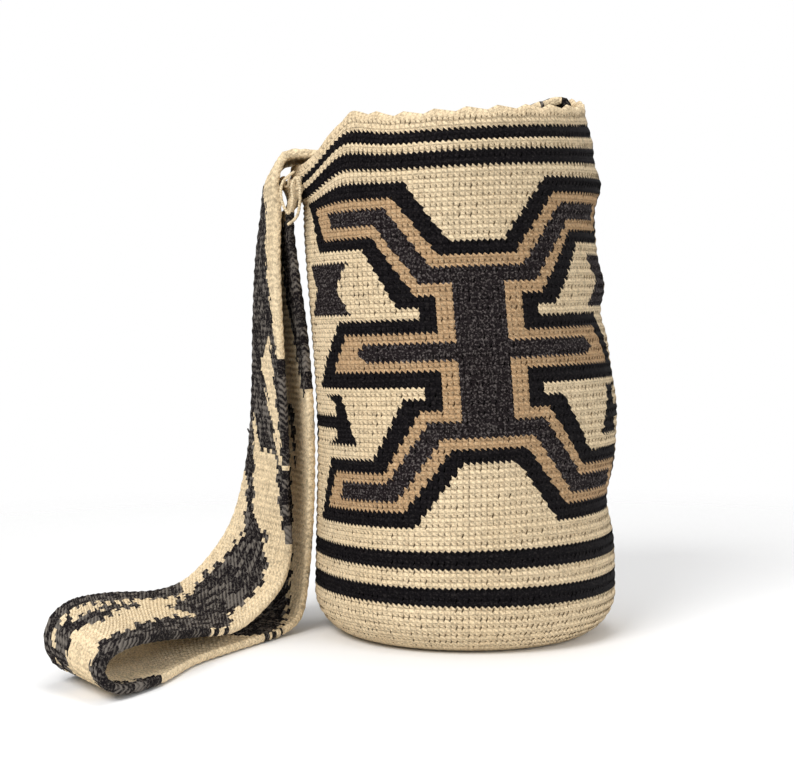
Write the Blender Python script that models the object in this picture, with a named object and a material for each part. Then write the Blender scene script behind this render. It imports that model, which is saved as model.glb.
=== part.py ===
"""A crocheted wool mochila: a round bag body, a twined shoulder band, and the yarn that sews the band on.

Metres, +Z up. The origin is the middle of the base, X runs to the right and Y away from the front.
Around the body, an angle of 0 faces the front and 90 degrees faces +X. Rounds of stitches are counted
from the middle round of the main figure, upward ones below zero.
"""

import bpy
import math
from mathutils import Vector

# The crocheted cloth
STITCHES = 168
ROUND_PITCH = 0.00265
CLOTH = 0.0035
GAP = 0.0003

# The bag body
BODY_RADIUS = 0.0928
BODY_TAPER = 0.0165
BASE_CORNER = 0.026
MIDDLE_HEIGHT = 0.1738
ROUNDS_ABOVE = 50.5
ROUND_TILT = 0.0035
LEAN = 0.009
LEAN_FROM, LEAN_TO = 0.10, 0.26
WAVE = 0.0011

# The rim, with its scalloped edge
RIM_SWING, RIM_SWING_AT = 0.006, 115.0
RIM_PEAK, RIM_PEAK_AT, RIM_PEAK_SPREAD = 0.011, 120.0, 35.0
RIM_FOLD, RIM_FOLD_AT, RIM_FOLD_SPREAD = 0.0045, -46.0, 14.0
RIM_DROOP, RIM_DROOP_AT, DROOP_FLAT, DROOP_END = 0.021, -91.0, 15.0, 46.0
RIM_PINCH = 0.0055
RIM_FLARE, RIM_FLARE_SPREAD = 0.008, 30.0
SCALLOPS = STITCHES // 6
SCALLOP_HEIGHT = 0.0024

# Soft dents in the right side of the wall: height, swell and spread
DENT_AT, DENT_SPREAD = 85.0, 40.0
DENTS = (
    (0.272, 0.0045, 0.010),
    (0.213, 0.0024, 0.010),
    (0.195, -0.0022, 0.010),
    (0.140, 0.0016, 0.016),
    (0.083, -0.0050, 0.018),
)

# The shoulder band and the yarn that sews it
BAND_WIDTH = 0.062
BAND_THICKNESS = 0.005
BAND_CORDS = 6
BAND_LAP = 0.012
CORD_GROOVE = 0.0009
LEFT_SEAM, RIGHT_SEAM = -90.0, 105.0
YARN = 0.0016
SEAM_FROM_RIM = 0.0106
SEAM_OVER, SEAM_DOWN = 0.0022, 0.006
SEAM_STITCHES = 9
SEAM_MARGIN, SEAM_CLEAR = 0.006, 0.0008
YARN_END, YARN_END_HEIGHT = 0.010, 0.117

# How finely the pieces are drawn
COLUMNS = 2 * (STITCHES // 4)
INNER_ROUNDS = (-47.0, -43.0, -38.0, -33.0, -25.0, -16.0, -8.0, 0.0, 10.0, 20.0, 27.0, 34.0, 42.0)
BAND_SPLITS = 2 * BAND_CORDS
BAND_STEP = 0.021

WOOL = {
    "cream_wool": ((0.62, 0.50, 0.34), 0.95),
    "black_wool": ((0.018, 0.014, 0.015), 0.92),
    "tan_wool": ((0.36, 0.22, 0.11), 0.95),
    "brown_wool": ((0.075, 0.055, 0.050), 0.93),
}
SHADES = ("cream_wool", "black_wool", "tan_wool", "brown_wool")
CREAM, BLACK, TAN, BROWN = range(4)

# The main figure, in stitches from its middle: brown core, tan edge, black edge
FIGURE_AT = 7.4
FIGURES = 2
BANDS = (BROWN, TAN, BLACK)
BAR = (4.0, 7.3, 10.5)
WAIST = (18.0, 21.0, 24.0)
ARM_TOP = (31.5, 34.5, 37.5)
ARM_UNDER = (28.1, 26.0, 23.0)
SHOULDER_UNDER = (15.0, 12.5, 10.0)
TOP_BEND = ((10.0, 15.8), (6.8, 13.5), (4.6, 12.6))
UNDER_BEND = ((10.2, 18.0), (11.3, 18.6), (14.5, 20.6))
ARM_REACH = ((19.0, 0.33), (19.8, 0.42), (24.0, 0.37))
MIDDLE_HALF = (1.6, 4.4, 7.4)
MIDDLE_REACH = ((23.4, -1.0), (27.2, 0.50), (30.8, 0.55))
STRIPES = ((-47.5, -45.5), (-43.5, -40.5), (42.5, 46.5), (50.5, 54.5))
MOTH_AT, MOTH_ROUND, MOTH_HALF = 30.5, -14.8, 5.8
MOTH_WAIST, MOTH_WING = 3.4, 3.1
LADDER_ROUNDS = (9.0, 19.8)
LADDER_RUNG = (13.6, 16.6)


def clear_scene():
    for item in list(bpy.data.objects):
        bpy.data.objects.remove(item, do_unlink=True)


def ease(value, low, high):
    share = min(max((value - low) / (high - low), 0.0), 1.0)
    return share * share * (3.0 - 2.0 * share)


def swell(value, middle, spread):
    return math.exp(-(((value - middle) / spread) ** 2))


def wrapped(degrees):
    """The angle between -180 and 180 degrees."""
    return (degrees + 180.0) % 360.0 - 180.0


def rim_height(degrees):
    """The height of the rim, without its scallops."""
    angle = wrapped(degrees)
    height = MIDDLE_HEIGHT + ROUND_PITCH * ROUNDS_ABOVE + 0.0029
    height += RIM_SWING * math.cos(math.radians(angle - RIM_SWING_AT))
    height += RIM_PEAK * swell(angle, RIM_PEAK_AT, RIM_PEAK_SPREAD)
    height += RIM_FOLD * swell(angle, RIM_FOLD_AT, RIM_FOLD_SPREAD)
    height -= RIM_DROOP * (1.0 - ease(abs(wrapped(angle - RIM_DROOP_AT)), DROOP_FLAT, DROOP_END))
    return height


def scallop(degrees):
    """The height of the rim's small waves, each steep on its left. The band presses them flat."""
    share = (degrees / 360.0 * SCALLOPS) % 1.0
    rise = 1.0 / 3.0
    height = SCALLOP_HEIGHT * (share / rise if share < rise else (1.0 - share) / (1.0 - rise))
    return height * ease(abs(wrapped(degrees - LEFT_SEAM)), DROOP_FLAT, DROOP_END)


def round_height(degrees, rounds):
    """The height of a round of stitches on the wall."""
    level = MIDDLE_HEIGHT + ROUND_TILT * math.sin(math.radians(degrees))
    height = level - ROUND_PITCH * rounds
    rest = rim_height(degrees) - (level + ROUND_PITCH * ROUNDS_ABOVE)
    share = ease(-rounds, 0.55 * ROUNDS_ABOVE, ROUNDS_ABOVE)
    edge = ease(-rounds, ROUNDS_ABOVE - 3.0, ROUNDS_ABOVE)
    return height + rest * share + scallop(degrees) * edge


def lean_at(height):
    return -LEAN * ease(height, LEAN_FROM, LEAN_TO)


def wall_radius(degrees, height, rounds):
    """The outer radius of the wall, with its dents, its waves and the pulled rim."""
    angle = wrapped(degrees)
    turn = math.radians(angle)
    radius = BODY_RADIUS - BODY_TAPER * height
    window = swell(angle, DENT_AT, DENT_SPREAD)
    radius += window * sum(depth * swell(height, at, spread) for at, depth, spread in DENTS)
    above_base = ease(height, 0.0, 2.0 * BASE_CORNER)
    radius += above_base * WAVE * math.sin(3.0 * turn + 1.1 + 19.0 * height)
    radius += above_base * 0.6 * WAVE * math.sin(5.0 * turn - 0.6 - 31.0 * height)
    flare = swell(angle, LEFT_SEAM, RIM_FLARE_SPREAD)
    radius -= RIM_PINCH * (1.0 - flare) * ease(-rounds, ROUNDS_ABOVE - 9.0, ROUNDS_ABOVE)
    radius += RIM_FLARE * flare * ease(-rounds, ROUNDS_ABOVE - 14.0, ROUNDS_ABOVE - 5.0)
    return radius


def corner_rounds():
    """The rounds at which the wall turns into the corner, and the corner into the base."""
    start = (MIDDLE_HEIGHT - BASE_CORNER) / ROUND_PITCH
    return start, start + BASE_CORNER * math.pi / 2.0 / ROUND_PITCH


def body_point(degrees, rounds, depth=0.0):
    """A point of the body, depth metres inside its outer face."""
    start, end = corner_rounds()
    turn = math.radians(degrees)
    if rounds <= start:
        height = round_height(degrees, rounds)
        height += (BASE_CORNER - round_height(degrees, start)) * ease(rounds, 0.6 * start, start)
        radius = wall_radius(degrees, height, rounds) - depth
    else:
        foot = wall_radius(degrees, BASE_CORNER, start)
        bend = (min(rounds, end) - start) * ROUND_PITCH / BASE_CORNER
        inner = BASE_CORNER - depth
        height = BASE_CORNER - inner * math.sin(bend)
        radius = foot - BASE_CORNER + inner * math.cos(bend)
        if rounds > end:
            radius = max(foot - BASE_CORNER - (rounds - end) * ROUND_PITCH, 0.0)
    return Vector((lean_at(height) + radius * math.sin(turn), -radius * math.cos(turn), height))


def in_figure(level, across, rounds):
    """Whether a stitch lies within one outline of the main figure: 0 core, 1 tan, 2 black."""
    x, y = abs(across), abs(rounds)
    start, end = TOP_BEND[level]
    share = min(max((x - start) / (end - start), 0.0), 1.0)
    top = WAIST[level] + share * (ARM_TOP[level] - WAIST[level])
    start, end = UNDER_BEND[level]
    share = min(max((x - start) / (end - start), 0.0), 1.0)
    under = SHOULDER_UNDER[level] + share * (ARM_UNDER[level] - SHOULDER_UNDER[level])
    reach, slope = ARM_REACH[level]
    in_arm = under <= y <= top and x <= reach + slope * y
    reach, slope = MIDDLE_REACH[level]
    tip = reach + slope * (y if level == 0 else rounds)
    in_middle = y <= MIDDLE_HALF[level] and x <= tip
    return in_arm or in_middle or (x <= BAR[level] and y <= top)


def in_moth(across, rounds):
    """The small figure between the upper arms: two triangles that meet at a waist."""
    high = abs(rounds - MOTH_ROUND)
    wide = MOTH_WAIST + MOTH_WING * high / MOTH_HALF
    return high <= MOTH_HALF and abs(abs(across) - MOTH_AT) <= wide


def in_ladder(across, rounds):
    """The three-legged figure between the lower arms, midway between two main figures."""
    top, foot = LADDER_ROUNDS
    if not top <= rounds <= foot:
        return False
    share = (rounds - top) / (foot - top)
    off = STITCHES / FIGURES / 2.0 - abs(across)
    leg = 12.0 <= off <= 14.2 + 3.2 * share
    serif = 9.0 + 6.0 * min(share, 1.0 - share) * 4.0 <= off <= 12.0
    rung = LADDER_RUNG[0] <= rounds <= LADDER_RUNG[1] and off <= 12.0
    return leg or serif or rung or off <= 2.3


def wool_at(degrees, rounds):
    """Which wool a stitch of the body has."""
    if any(top < rounds < foot for top, foot in STRIPES):
        return BLACK
    span = STITCHES / FIGURES
    stitch = (degrees - FIGURE_AT) / 360.0 * STITCHES
    across = (stitch + span / 2.0) % span - span / 2.0
    for level, wool in enumerate(BANDS):
        if in_figure(level, across, rounds):
            return wool
    if in_moth(across, rounds):
        return BROWN
    return BLACK if in_ladder(across, rounds) else CREAM


def wool_material(name):
    colour, roughness = WOOL[name]
    material = bpy.data.materials.get(name) or bpy.data.materials.new(name)
    material.use_nodes = True
    shader = material.node_tree.nodes["Principled BSDF"]
    shader.inputs["Base Color"].default_value = (*colour, 1.0)
    shader.inputs["Roughness"].default_value = roughness
    shader.inputs["Metallic"].default_value = 0.0
    return material


def add_mesh(name, points, faces, wools, face_wools=None):
    mesh = bpy.data.meshes.new(name)
    mesh.from_pydata(points, [], faces)
    for wool in wools:
        mesh.materials.append(wool_material(wool))
    if face_wools:
        mesh.polygons.foreach_set("material_index", face_wools)
    mesh.shade_smooth()
    mesh.update()
    item = bpy.data.objects.new(name, mesh)
    bpy.context.collection.objects.link(item)
    return item


def body_rounds():
    """The rounds at which the outer mesh has a ring, so that each band of the pattern has its edges."""
    start, end = corner_rounds()
    figure = sorted({*MIDDLE_HALF, 10.0, 12.5, 15.0, 18.0, 21.0, 23.5, 26.0, 28.5, 31.5, 34.5, 37.5})
    stripes = {edge for stripe in STRIPES for edge in stripe}
    wall = {-ROUNDS_ABOVE, *stripes, *figure, *(-edge for edge in figure)}
    bends = (start + share * (end - start) for share in (0.1, 0.4, 0.7, 1.0))
    return sorted(wall) + list(bends)


def ring(rounds, columns, depth=0.0):
    return [body_point(360.0 * column / columns, rounds, depth) for column in range(columns)]


def make_body():
    """The body as one closed shell: outer base and wall, rim, inner wall and inner base."""
    start, end = corner_rounds()
    base_middle = (BODY_RADIUS - BASE_CORNER) / ROUND_PITCH
    base = [end + share * base_middle for share in (0.7, 0.35)]
    outer = base + list(reversed(body_rounds()))
    inner = [-ROUNDS_ABOVE + 0.4, *INNER_ROUNDS, start, end]
    half = COLUMNS // 2
    points = [point for rounds in outer for point in ring(rounds, COLUMNS)]
    first_inner = len(points)
    points += [point for rounds in inner for point in ring(rounds, half, CLOTH)]
    faces, wools = [], []

    def add_ring(low, high, columns, rounds):
        for column in range(columns):
            after = (column + 1) % columns
            faces.append((low + column, low + after, high + after, high + column))
            wools.append(wool_at(360.0 * (column + 0.5) / columns, rounds))

    for level in range(len(outer) - 1):
        low = level * COLUMNS
        add_ring(low, low + COLUMNS, COLUMNS, 0.5 * (outer[level] + outer[level + 1]))
    for level in range(len(inner) - 1):
        low = first_inner + level * half
        add_ring(low, low + half, half, 0.5 * (inner[level] + inner[level + 1]))
    rim = first_inner - COLUMNS
    foot, floor = len(points), len(points) + 1
    points += [Vector((0.0, 0.0, 0.0)), Vector((0.0, 0.0, CLOTH))]
    last = first_inner + (len(inner) - 1) * half
    for column in range(half):
        after = (column + 1) % half
        edge = [rim + (2 * column + step) % COLUMNS for step in range(3)]
        faces.append((*edge, first_inner + after, first_inner + column))
        faces.append((floor, last + column, last + after))
        wools += [CREAM, CREAM]
    for column in range(COLUMNS):
        faces.append((foot, (column + 1) % COLUMNS, column))
        wools.append(CREAM)
    return add_mesh("bag_body", points, faces, SHADES, wools)


def across_band():
    half = BAND_WIDTH / 2.0
    return [-half + BAND_WIDTH * step / BAND_SPLITS for step in range(BAND_SPLITS + 1)]


def free_row(middle, turn, tilt=0.0):
    """Points across the band where it hangs or lies free. The far edge is turned to the left."""
    turn, tilt = math.radians(turn), math.radians(tilt)
    wide = Vector((-math.sin(turn) * math.cos(tilt), math.cos(turn) * math.cos(tilt), math.sin(tilt)))
    return [Vector(middle) + wide * reach for reach in across_band()]


def seat_row(seam, rounds, lift):
    """Points across the band where it lies on the body. A lift below zero is inside the wall."""
    side = 1.0 if math.cos(math.radians(seam - RIGHT_SEAM)) > 0.0 else -1.0
    row = []
    for reach in across_band():
        angle = seam + side * math.degrees(reach / BODY_RADIUS)
        row.append(body_point(angle, rounds, -lift))
    return row


def beside(rounds, out, ahead, turn, tilt=0.0):
    """A row that hangs beside the left of the body, out metres from the wall."""
    wall = body_point(LEFT_SEAM, rounds)
    return free_row((wall.x - out, -ahead, wall.z), turn, tilt)


def on_floor(left, ahead, height, turn, tilt=0.0):
    """A row that lies on or near the floor, left metres from the foot of the wall."""
    return free_row((-BODY_RADIUS - left, -ahead, height), turn, tilt)


def seam_rounds():
    """The round at which the left end of the band stops, and the one that the right end starts from."""
    edge = SEAM_FROM_RIM / ROUND_PITCH - ROUNDS_ABOVE
    return edge, edge + BAND_LAP / ROUND_PITCH


def band_rows():
    """The rows that guide the band, from its sewn end at the right to its sewn end at the left."""
    half = BAND_THICKNESS / 2.0
    top, foot = seam_rounds()
    inside, outside = -(CLOTH + GAP + half), GAP + half
    over_seam = GAP + BAND_THICKNESS + SEAM_CLEAR + YARN + 3.0 * GAP + half
    right = body_point(RIGHT_SEAM, -ROUNDS_ABOVE, CLOTH + half)
    left = body_point(LEFT_SEAM, -ROUNDS_ABOVE)
    flat = half + GAP
    rows = [
        seat_row(RIGHT_SEAM, foot, inside),
        seat_row(RIGHT_SEAM, 0.5 * (foot + top), inside - 0.0004),
        seat_row(RIGHT_SEAM, top, inside - 0.0022),
        free_row(right + Vector((-0.0115, -0.001, -0.0040)), 14.0),
        free_row(right + Vector((-0.0230, -0.003, -0.0060)), 11.0),
        free_row(right + Vector((-0.0500, -0.009, -0.0170)), 6.0),
        free_row((right.x - 0.085, 0.009, left.z + 0.009), 3.0),
        free_row((left.x + 0.042, 0.004, left.z + 0.004), 2.0),
        free_row((left.x + 0.016, 0.002, left.z + half + 0.0032), 1.0),
        free_row((left.x + 0.002, 0.001, left.z + half + 0.0036), 2.0),
        free_row((left.x - 0.6 * over_seam, 0.001, left.z + half + 0.0002), 6.0),
        beside(-46.0, over_seam + 0.0012, -0.001, 9.0),
        beside(-36.0, 0.0205, -0.002, 12.0),
        beside(-22.0, 0.0240, -0.002, 15.0),
        beside(-8.0, 0.0275, -0.002, 18.0),
        beside(8.0, 0.0300, -0.001, 21.0),
        beside(22.0, 0.0310, 0.001, 25.0),
        beside(34.0, 0.0330, 0.005, 31.0),
        on_floor(0.0340, 0.008, 0.0580, 42.0, 3.0),
        on_floor(0.0420, 0.016, 0.0385, 55.0, 6.0),
        on_floor(0.0540, 0.034, 0.0260, 58.0, 9.0),
        on_floor(0.0680, 0.061, 0.0215, 61.0, 15.0),
        on_floor(0.0870, 0.100, 0.0265, 64.0, 16.0),
        on_floor(0.1000, 0.138, 0.0310, 54.0, 13.0),
        on_floor(0.1070, 0.163, 0.0320, 44.0, 11.0),
        on_floor(0.1125, 0.176, 0.0280, 39.0, 10.0),
        on_floor(0.1145, 0.180, 0.0190, 38.0, 8.0),
        on_floor(0.1105, 0.174, 0.0095, 40.0, 5.0),
        on_floor(0.1040, 0.162, flat + 0.0023, 44.0, 2.0),
        on_floor(0.0950, 0.138, flat + 0.0006, 51.0),
        on_floor(0.0870, 0.098, flat + 0.0003, 60.0),
        on_floor(0.0720, 0.066, flat + 0.0003, 62.0),
        on_floor(0.0560, 0.036, flat + 0.0003, 62.0),
        on_floor(0.0430, 0.013, flat + 0.0016, 58.0, 1.0),
        on_floor(0.0310, -0.004, 0.0120, 48.0, 3.0),
        on_floor(0.0230, -0.012, 0.0300, 36.0, 3.0),
        beside(43.0, 0.0180, -0.013, 28.0),
        beside(28.0, 0.0140, -0.011, 21.0),
        beside(12.0, 0.0130, -0.008, 18.0),
        beside(-4.0, 0.0130, -0.006, 17.0),
        beside(-18.0, 0.0140, -0.005, 16.0),
        beside(-29.0, 0.0135, -0.004, 12.0),
        beside(-37.0, 0.0080, -0.002, 5.0),
        seat_row(LEFT_SEAM, foot, outside + 0.0008),
        seat_row(LEFT_SEAM, 0.5 * (foot + top), outside + 0.0004),
        seat_row(LEFT_SEAM, top, outside),
    ]
    return rows


def smooth_rows(rows):
    """Rows read along one smooth surface through the guide rows."""
    smooth = []
    for place in range(len(rows) - 1):
        before, here = rows[max(place - 1, 0)], rows[place]
        after, beyond = rows[place + 1], rows[min(place + 2, len(rows) - 1)]
        middle = len(here) // 2
        steps = max(1, round((after[middle] - here[middle]).length / BAND_STEP))
        for step in range(steps):
            t = step / steps
            row = []
            for a, b, c, d in zip(before, here, after, beyond):
                bend = 2.0 * a - 5.0 * b + 4.0 * c - d
                twist = 3.0 * b - a - 3.0 * c + d
                row.append(0.5 * (2.0 * b + (c - a) * t + bend * t * t + twist * t * t * t))
            smooth.append(row)
    smooth.append(rows[-1])
    return smooth


def band_normals(rows):
    """The direction out of the band's upper face at each point."""
    normals = []
    for place, row in enumerate(rows):
        before, after = rows[max(place - 1, 0)], rows[min(place + 1, len(rows) - 1)]
        line = []
        for split in range(len(row)):
            along = after[split] - before[split]
            wide = row[min(split + 1, len(row) - 1)] - row[max(split - 1, 0)]
            line.append(along.cross(wide).normalized())
        normals.append(line)
    return normals


def half_thickness(place, count, split):
    """Half the band's thickness: thin at the sewn ends, with a groove beside each cord."""
    half = BAND_THICKNESS / 2.0
    share = 0.8 if place in (0, count - 1) else 1.0
    if split in (0, BAND_SPLITS):
        return 0.45 * half * share
    return (half if split % 2 else half - CORD_GROOVE) * share


def make_band(rows):
    """The twined band as one closed solid, with its lengthwise cords as ridges."""
    normals = band_normals(rows)
    points = []
    for place, (row, line) in enumerate(zip(rows, normals)):
        halves = [half_thickness(place, len(rows), split) for split in range(len(row))]
        points += [point + out * half for point, out, half in zip(row, line, halves)]
        under = [point - out * half for point, out, half in zip(row, line, halves)]
        points += list(reversed(under))
    loop = 2 * (BAND_SPLITS + 1)
    faces, wools = [], []
    for place in range(len(rows) - 1):
        low, high = place * loop, (place + 1) * loop
        for spot in range(loop):
            after = (spot + 1) % loop
            faces.append((low + spot, high + spot, high + after, low + after))
            cord = spot if spot <= BAND_SPLITS else loop - 1 - spot
            wools.append(band_wool(place / (len(rows) - 1), cord / BAND_SPLITS))
    last = (len(rows) - 1) * loop
    for split in range(BAND_SPLITS):
        mirror = loop - 1 - split
        faces.append((split, split + 1, mirror - 1, mirror))
        faces.append((last + mirror, last + mirror - 1, last + split + 1, last + split))
        wools += [CREAM, CREAM]
    return add_mesh("shoulder_strap", points, faces, SHADES[:2], wools)


def band_wool(along, across):
    """Long pointed fields of cream and black that trade places down the band."""
    field = math.sin(2.0 * math.pi * (5.5 * along + 0.35 * math.sin(9.0 * across)))
    edge = 0.9 * math.cos(2.0 * math.pi * across) + 0.25
    return BLACK if field + edge > 0.55 else CREAM


def add_yarn(name, line, wool, thickness=YARN):
    curve = bpy.data.curves.new(name, "CURVE")
    curve.dimensions = "3D"
    curve.bevel_depth = thickness / 2.0
    curve.bevel_resolution = 1
    curve.use_fill_caps = True
    spline = curve.splines.new("POLY")
    spline.points.add(len(line) - 1)
    for spot, point in zip(spline.points, line):
        spot.co = (*point, 1.0)
    curve.materials.append(wool_material(wool))
    item = bpy.data.objects.new(name, curve)
    bpy.context.collection.objects.link(item)
    return item


def make_seam(name, seam, inside):
    """Sewing yarn that steps to and fro across the sewn end of the band."""
    lift = GAP + BAND_THICKNESS + SEAM_CLEAR + YARN / 2.0
    top, foot = seam_rounds()
    end, inward = (foot, -1.0) if inside else (top, 1.0)
    outer, inner = end - inward * SEAM_OVER / ROUND_PITCH, end + inward * SEAM_DOWN / ROUND_PITCH
    reach = BAND_WIDTH / 2.0 - SEAM_MARGIN
    line = []
    for stitch in range(SEAM_STITCHES):
        side = -reach + 2.0 * reach * stitch / (SEAM_STITCHES - 1)
        angle = seam + math.degrees(side / BODY_RADIUS)
        depth = CLOTH + lift if inside else -lift
        leg = [body_point(angle, rounds, depth) for rounds in (outer, 0.5 * (outer + inner), inner)]
        line += leg if stitch % 2 else reversed(leg)
    return add_yarn(name, line, "cream_wool")


def make_yarn_end(rows):
    """A loose dark end of yarn at the band's far edge."""
    hanging = rows[: len(rows) // 2]
    row = min(hanging, key=lambda spots: abs(spots[-1].z - YARN_END_HEIGHT))
    out = (row[-1] - row[0]).normalized()
    start = row[-1] + out * (GAP + 0.5 * YARN)
    end = start + (out + Vector((0.0, 0.0, 0.5))) * 0.9 * YARN_END
    return add_yarn("loose_yarn_end", [start, 0.5 * (start + end), end], "black_wool")


def main():
    clear_scene()
    rows = smooth_rows(band_rows())
    make_body()
    make_band(rows)
    make_seam("left_seam_yarn", LEFT_SEAM, inside=False)
    make_seam("right_seam_yarn", RIGHT_SEAM, inside=True)
    make_yarn_end(rows)


main()
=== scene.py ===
"""Looks for the crocheted mochila: the stitched body, the twined band, its sewing yarn, light and camera."""
import math
import random

import bpy
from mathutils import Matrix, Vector


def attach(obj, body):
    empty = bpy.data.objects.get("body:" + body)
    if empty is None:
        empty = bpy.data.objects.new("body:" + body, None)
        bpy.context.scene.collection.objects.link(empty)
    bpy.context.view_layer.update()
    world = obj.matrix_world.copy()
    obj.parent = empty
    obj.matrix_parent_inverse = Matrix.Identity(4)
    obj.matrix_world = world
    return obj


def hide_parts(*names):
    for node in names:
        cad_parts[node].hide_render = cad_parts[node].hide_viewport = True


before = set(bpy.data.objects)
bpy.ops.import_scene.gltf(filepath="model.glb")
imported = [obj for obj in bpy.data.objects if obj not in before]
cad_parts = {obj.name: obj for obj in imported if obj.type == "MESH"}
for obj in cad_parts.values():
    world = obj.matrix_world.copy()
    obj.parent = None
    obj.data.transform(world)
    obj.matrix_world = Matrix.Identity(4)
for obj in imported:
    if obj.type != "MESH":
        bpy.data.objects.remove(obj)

RANDOM = random.Random(7)

# The crochet. Sizes are in metres and angles in degrees, from the front towards the right. A level on the
# body is told in rounds of stitches, downward from the middle of the main figure.
STITCHES = 168
HALVES = 2 * STITCHES
STITCH_TURN = 360.0 / STITCHES
HALF_TURN = 180.0 / STITCHES
ROUND_PITCH = 0.00265
CLOTH = 0.0035
GAP = 0.0003

# The body
BODY_RADIUS = 0.0928
BODY_TAPER = 0.0165
BASE_CORNER = 0.026
MIDDLE_HEIGHT = 0.1738
ROUNDS_ABOVE = 50.5
ROUND_TILT = 0.0035
LEAN = 0.009
LEAN_FROM, LEAN_TO = 0.10, 0.26

# The shares of the way up, and of the way down to the corner, from which the rounds follow the rim and foot
RIM_FOLLOW, FOOT_FOLLOW = 0.55, 0.6

# Slanting waves of the wall: share of WAVE, how many go round, where they start, how much they slant
WAVE = 0.0011
WAVES = ((1.0, 3.0, 1.1, 19.0), (0.6, 5.0, -0.6, -31.0))

# The rim: its swing from low to high, its peak, its fold and its droop under the band, then its small waves
RIM_LIFT = 0.0029
RIM_SWING, RIM_SWING_AT = 0.006, 115.0
RIM_PEAK, RIM_PEAK_AT, RIM_PEAK_SPREAD = 0.011, 120.0, 35.0
RIM_FOLD, RIM_FOLD_AT, RIM_FOLD_SPREAD = 0.0045, -46.0, 14.0
RIM_DROOP, RIM_DROOP_AT, DROOP_FLAT, DROOP_END = 0.021, -91.0, 15.0, 46.0
RIM_PINCH, PINCH_ROUNDS = 0.0055, 9.0
RIM_FLARE, RIM_FLARE_SPREAD, FLARE_ROUNDS = 0.008, 30.0, (14.0, 5.0)
SCALLOPS = 28
SCALLOP_HEIGHT, SCALLOP_PEAK, SCALLOP_ROUNDS = 0.0024, 1.0 / 3.0, 3.0

# Dents and swellings of the right side: height, depth outward, spread
DENT_AT, DENT_SPREAD = 85.0, 40.0
DENTS = (
    (0.272, 0.0045, 0.010),
    (0.213, 0.0024, 0.010),
    (0.195, -0.0022, 0.010),
    (0.140, 0.0016, 0.016),
    (0.083, -0.0050, 0.018),
)

# The band and its sewing
BAND_WIDTH = 0.062
BAND_THICKNESS = 0.005
BAND_LAP = 0.012
LEFT_SEAM, RIGHT_SEAM = -90.0, 105.0
YARN = 0.0016
SEAM_FROM_RIM = 0.0106
SEAM_OVER, SEAM_DOWN = 0.0022, 0.006
SEAM_STITCHES = 9
SEAM_MARGIN, SEAM_CLEAR = 0.006, 0.0008
LOOP_YARN = 0.0019

# The loose dark end: length, height, thickness, then how far it starts inside the band, rises and sags
YARN_END, YARN_END_HEIGHT, YARN_END_THICKNESS = 0.010, 0.117, 0.0012
YARN_END_SINK, YARN_END_RISE, YARN_END_SAG = 0.001, 0.5, 0.0006

# How a yarn is drawn: corners round it, length of a step, winding of its plies, thickness between them, ends
YARN_SIDES = 10
YARN_STEP = 0.0006
YARN_WINDING = 7.0
YARN_GROOVE = 0.80
YARN_TIP = 0.6
YARN_STITCH = 0.003

# The main figure, in stitches across and rounds up or down from its middle. Each value has a part for the
# core, one for the tan outline and one for the black outline.
CREAM, BLACK, TAN, BROWN = range(4)
FIGURE_AT = 7.4
FIGURES = 2
OUTLINES = (BROWN, TAN, BLACK)
BAR = (4.6, 7.3, 10.5)
WAIST = (18.6, 21.0, 24.0)
ARM_TOP = (31.8, 33.9, 37.5)
ARM_UNDER = (28.1, 26.0, 23.0)
SHOULDER_UNDER = (15.0, 12.5, 10.0)
TOP_BEND = ((8.0, 15.9), (6.6, 14.4), (4.6, 12.6))
UNDER_BEND = ((10.2, 18.0), (11.3, 18.6), (14.5, 20.6))
ARM_REACH = ((19.0, 0.33), (19.8, 0.42), (24.0, 0.37))
MIDDLE_HALF = (2.1, 3.9, 7.4)
MIDDLE_REACH = ((23.4, -1.0), (27.2, 0.50), (30.8, 0.55))

# The stripes and the small figures, and how much lower the pattern sits above the middle
STRIPES = ((-48.6, -45.9), (-43.7, -40.1), (42.5, 46.5), (50.5, 54.5))
MOTH_AT, MOTH_ROUND, MOTH_HALF = 30.5, -14.8, 5.8
MOTH_WAIST, MOTH_WING = 3.4, 3.1
LADDER_ROUNDS = (9.0, 19.8)
LADDER_RUNG = (13.6, 16.6)
LADDER_LEG, LADDER_SPLAY = (12.0, 14.2), 3.2
LADDER_FOOT, LADDER_FOOT_SLOPE = 9.0, 24.0
LADDER_MIDDLE = 2.3
UPPER_PRESS = 1.03

# How the stitches stand out of the cloth and lean. The rises are for the even and the odd half rounds.
TOOTH = 0.78
TOOTH_LEAN = 0.36
STAGGER = 0.16
STITCH_WANDER = 0.03
STITCH_RISE = 0.00055
STITCH_RISES = ((-0.55, 0.1), (-0.2, 1.0))
STITCH_JITTER = 0.00006
CALM_RISE = 0.35
RIM_CALM, FOOT_CALM = 1.5, 6.0
CREST_LIFT = 0.0007

# The inner face and the base
INNER_EVERY = 3
INNER_GRAIN = (-0.0002, 0.0004)
INNER_ROUND = 0.7
INNER_SHADE = 0.6
DISC_RINGS = 10
DISC_ROUND = 2.5
BASE_GRAIN = 0.0003

# The band's cords, and how finely they are drawn
CORDS = 22
CORD_PARTS = 4
SPLITS = CORDS * CORD_PARTS
CORD_RISE = 0.0011
CORD_SWING = 0.00034
CORD_TURN = 0.0075
BAND_STEP = 0.0027
BAND_EDGE, BAND_TIP = 0.5, 0.55
TIP_FROM, TIP_TO = 0.004, 0.006

# The edges of the fields of wool on the band, in metres: how far their ends wander, the length of a stitch.
# Then the share of the width by which every second stitch reaches past their sides.
FIELD_JAG = 0.009
FIELD_DASH = 0.0056
FIELD_REACH = 0.055

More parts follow.
